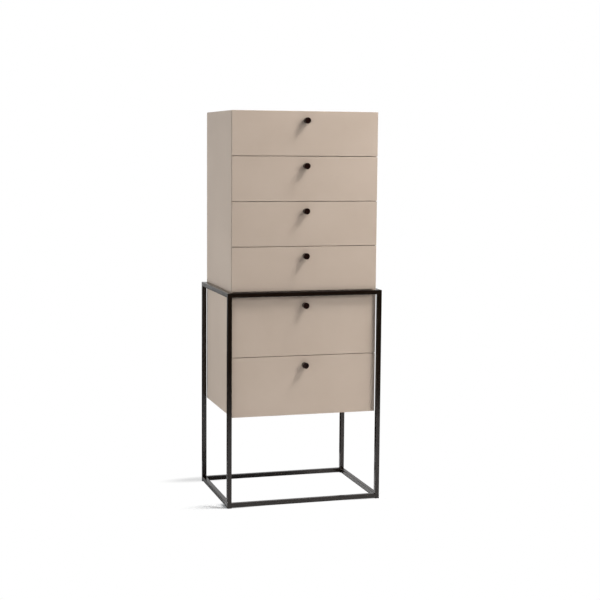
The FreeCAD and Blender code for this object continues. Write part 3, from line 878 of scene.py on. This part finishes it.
# %% [markdown]
# ## The tubes
#
# Square tube is drawn through a die, so its corners are rounded. A plain box has no such corners, and
# the light line along them is missing. Here the section is a square of corner centres with a quarter
# circle round each. The posts are closed at the top by a plate that is ground round, which is the same
# section drawn in as it rises. The rails are ground flush where they are welded, so they run on into
# the posts by one corner radius and hide the posts' own roundings there.

# %% Tubes
CORNER_RADIUS = 0.0015
CORNER_STEPS = 6
WALL = 0.0015
MOUTH_DEPTH = 0.03
CAP_TURN_DEG = 84


def rounded_square(half, drawn_in):
    """A section for each drawn_in: corner centres at half - radius, plus what is left of the radius.

    Point = (half - radius) * corner sign + (radius - drawn_in) * (cos, sin) over the corner's quarter.
    """
    quarter = np.linspace(0, np.pi / 2, CORNER_STEPS + 1)
    angles = (np.arange(4)[:, None] * np.pi / 2 + quarter).ravel()
    middle = np.repeat(np.arange(4) * np.pi / 2 + np.pi / 4, CORNER_STEPS + 1)
    out = half - CORNER_RADIUS
    left = (CORNER_RADIUS - drawn_in)[:, None]
    across_x = out * np.sign(np.cos(middle)) + left * np.cos(angles)
    across_y = out * np.sign(np.sin(middle)) + left * np.sin(angles)
    return across_x, across_y


def tube(node):
    """The skin of one tube, from the node's box: the longest side is its path."""
    low, high = (np.array(corner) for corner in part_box(node))
    run = int(np.argmax(high - low))
    length = (high - low)[run]
    half = np.delete(high - low, run).max() / 2
    start = (low + high) / 2
    start[run] = low[run]
    if "_post_" in node:
        bend = np.radians(np.linspace(0, CAP_TURN_DEG, CORNER_STEPS + 1))
        drawn_in = np.concatenate(((WALL, WALL, 0), CORNER_RADIUS * (1 - np.cos(bend))))
        along = np.concatenate(((MOUTH_DEPTH, 0, 0), length - CORNER_RADIUS * (1 - np.sin(bend))))
    else:
        drawn_in = np.zeros(2)
        along = np.array((-CORNER_RADIUS, length + CORNER_RADIUS))
    across_x, across_y = rounded_square(half, drawn_in)
    points = carry(across_x, across_y, along, "xyz"[run], start)
    return lay_skin(f"{node}_tube", points[None])


tubes = [
    show_skin(tube(node), steel_black, "black_steel", "chest", node)
    for node in nodes
    if node.startswith("frame_") and slot_of[node] == "black_steel"
]
print(len(tubes), "tubes")

# %% [markdown]
# ## The knobs
#
# Each drawer has one knob, turned from bar: a round head with a softened rim, a side that narrows a
# little towards the drawer, and a stud that holds it. A lathe is a profile carried round an axis, and
# so is this: one outline of radius and depth, swept through a full turn. The face is dished by a hair,
# because a turned face is never quite flat, and the rim is a quarter circle.

# %% Knobs
TURN_COLUMNS = 64
RIM_RADIUS = 0.0012
HEEL_RADIUS = 0.0004
FACE_DISH = 0.00025
NECK_SHARE = 0.93
STUD_RADIUS = 0.0025
POLE_SHARE = 0.02
FACE_POINTS, BEND_POINTS, SIDE_POINTS = 10, 8, 6


def knob_outline(radius, length, stud_length):
    """Radius and depth from the middle of the face, over the rim and along the side, to the stud's end.

    Face: depth = dish * (1 - (r / flat)^2). Rim and heel: quarter circles. Side: a straight taper.
    """
    flat = radius - RIM_RADIUS
    neck = radius * NECK_SHARE
    face = flat * np.linspace(POLE_SHARE, 1, FACE_POINTS)
    bend = np.linspace(0, np.pi / 2, BEND_POINTS)[1:]
    down = np.linspace(0, 1, SIDE_POINTS)[1:]
    side_length = length - RIM_RADIUS - HEEL_RADIUS
    radii = np.concatenate((
        face,
        flat + RIM_RADIUS * np.sin(bend),
        radius + (neck - radius) * down,
        neck - HEEL_RADIUS * (1 - np.cos(bend)),
        (STUD_RADIUS, STUD_RADIUS, STUD_RADIUS - HEEL_RADIUS),
    ))
    depths = np.concatenate((
        FACE_DISH * (1 - (face / flat) ** 2),
        RIM_RADIUS * (1 - np.cos(bend)),
        RIM_RADIUS + side_length * down,
        length - HEEL_RADIUS * (1 - np.sin(bend)),
        (length, length + stud_length - HEEL_RADIUS, length + stud_length),
    ))
    return radii, depths


def knob(drawer):
    """Carries the outline round the knob's axis, and keeps each point's length along the outline."""
    low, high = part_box(f"{drawer}_knob")
    front_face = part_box(f"{drawer}_front")[0].y
    radii, depths = knob_outline((high.x - low.x) / 2, front_face - low.y, high.y - front_face)
    angles = np.linspace(0, 2 * np.pi, TURN_COLUMNS, endpoint=False)
    middle = ((low.x + high.x) / 2, low.y, (low.z + high.z) / 2)
    loop_x, loop_y = radii[:, None] * np.cos(angles), radii[:, None] * np.sin(angles)
    points = carry(loop_x, loop_y, depths, "y", middle)
    mesh = lay_skin(f"{drawer}_turned_knob", points[None])
    length = np.concatenate(((0,), np.cumsum(np.hypot(np.diff(radii), np.diff(depths)))))
    mesh.attributes.new("outline_length", "FLOAT", "POINT")
    mesh.attributes["outline_length"].data.foreach_set("value", np.repeat(length, TURN_COLUMNS))
    return mesh


drawers = [body for body in frame["bodies"] if body.startswith("drawer_")]
knobs = [
    show_skin(knob(drawer), knob_black, "black_knob", drawer, f"{drawer}_knob")
    for drawer in drawers
]
print(len(knobs), "knobs")

# %% [markdown]
# ## Heads of screws and bolts
#
# The back panels are held by small countersunk screws, and the frame by six black bolts. What makes them
# read as fasteners is the drive: a cross in the screws and a hexagon in the bolts. Both are outlines in
# polar form, a radius for each angle, and the head's rim is one too, so a head is again a stack of
# loops: floor of the drive, its rim, the head's rim, the cone and the shank. Their places come from
# the construction: the points of a node that lie in the plane of the heads, gathered head by head.

# %% Fasteners
GATHER_REACH = 0.015
SAME_DIGITS = 6
PLANE_REACH = 1e-5
RIM_BREAK = 0.0001
TIP_SHARE = 0.4
CROSS_ANGLES_DEG = (-45, -30, -18, -11, 0, 11, 18, 30)
FLANK_LIMIT = 9
HEXAGON_STEP_DEG = 10


def head_middles(node, axis, level):
    """The middle of each head: the centre of the box round its points at a level on an axis.

    A point belongs to the first point of the list that lies within reach of it.
    """
    mesh = nodes[node].data
    flat = np.empty(3 * len(mesh.vertices))
    mesh.vertices.foreach_get("co", flat)
    points = np.unique(flat.reshape(-1, 3).round(SAME_DIGITS), axis=0)
    rim = points[np.isclose(points[:, axis], level, atol=PLANE_REACH)]
    apart = np.linalg.norm(rim[:, None] - rim, axis=2)
    first = (apart < GATHER_REACH).argmax(axis=1)
    heads = [rim[first == lead] for lead in np.unique(first)]
    return np.array([(head.min(0) + head.max(0)) / 2 for head in heads])


def cross_drive(length, width):
    """Angles and radii of a cross: length / cos on the arms' ends, width / sin on their flanks.

    The flanks' radius is held to a few lengths, so that nothing is divided by zero on an arm's middle.
    """
    angles = np.radians(np.add.outer(np.arange(4) * 90, CROSS_ANGLES_DEG).ravel())
    off_arm = np.abs((angles + np.pi / 4) % (np.pi / 2) - np.pi / 4)
    least_sine = width / length / FLANK_LIMIT
    ends = length / np.cos(off_arm)
    flanks = width / np.maximum(np.sin(off_arm), least_sine)
    return angles, np.minimum(ends, flanks)


def hexagon_drive(half_width):
    """Angles and radii of a hexagon: half its width over the cosine of the turn from a flat's middle."""
    angles = np.radians(np.arange(0, 360, HEXAGON_STEP_DEG))
    off_flat = (angles + np.pi / 6) % (np.pi / 3) - np.pi / 6
    return angles, half_width / np.cos(off_flat)


def fasteners(name, middles, path, drive, drive_depth, drive_taper, head, shank, length):
    """Countersunk fasteners at their heads' middles: loops from the drive's floor to the shank's end."""
    angles, outline = drive
    cone = head - shank
    round_radii = (head - RIM_BREAK, head, shank, shank, shank * TIP_SHARE)
    round_loops = (np.full_like(angles, radius) for radius in round_radii)
    radii = np.stack((outline * drive_taper, outline, *round_loops))
    depths = np.array((drive_depth, 0, 0, RIM_BREAK, cone, length - shank, length))
    loop_x, loop_y = radii * np.cos(angles), radii * np.sin(angles)
    points = carry(loop_x, loop_y, depths, path, (0, 0, 0))
    return lay_skin(name, middles[:, None, None] + points)


# %% [markdown]
# ### Sizes of the fasteners
#
# The radii and lengths are the construction's own, and a drive is cut in. The cross is given by an
# arm's length and half its width, and the hexagon by half its width across flats. A drive narrows
# by its taper on the way down.

# %% Screws and bolts
CROSS_ARM, CROSS_HALF_WIDTH = 0.0021, 0.00045
HEXAGON_HALF_WIDTH = 0.0015
SCREW = {
    "drive": cross_drive(CROSS_ARM, CROSS_HALF_WIDTH),
    "drive_depth": 0.0011,
    "drive_taper": 0.5,
    "head": 0.0035,
    "shank": 0.00175,
    "length": 0.015,
}
BOLT = {
    "drive": hexagon_drive(HEXAGON_HALF_WIDTH),
    "drive_depth": 0.0022,
    "drive_taper": 0.98,
    "head": 0.0046,
    "shank": 0.0025,
    "length": 0.045,
}
X_AXIS, Y_AXIS = 0, 1

screw_middles = head_middles("back_panel_screws", Y_AXIS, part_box("back_panel_screws")[1].y)
screws = fasteners("back_panel_cross_screws", screw_middles, "-y", **SCREW)
show_skin(screws, zinc, "zinc_steel", "chest", "back_panel_screws")

bolt_low, bolt_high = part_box("frame_bolts")
bolt_rows = {"left": ("x", bolt_low.x), "right": ("-x", bolt_high.x)}
bolt_meshes = [
    fasteners(f"frame_hex_bolts_{side}", head_middles("frame_bolts", X_AXIS, plane), path, **BOLT)
    for side, (path, plane) in bolt_rows.items()
]
for mesh in bolt_meshes:
    show_skin(mesh, bolt_black, "black_bolts", "chest", "frame_bolts")
print(len(screw_middles), "screws and", len(bolt_meshes), "rows of bolts")
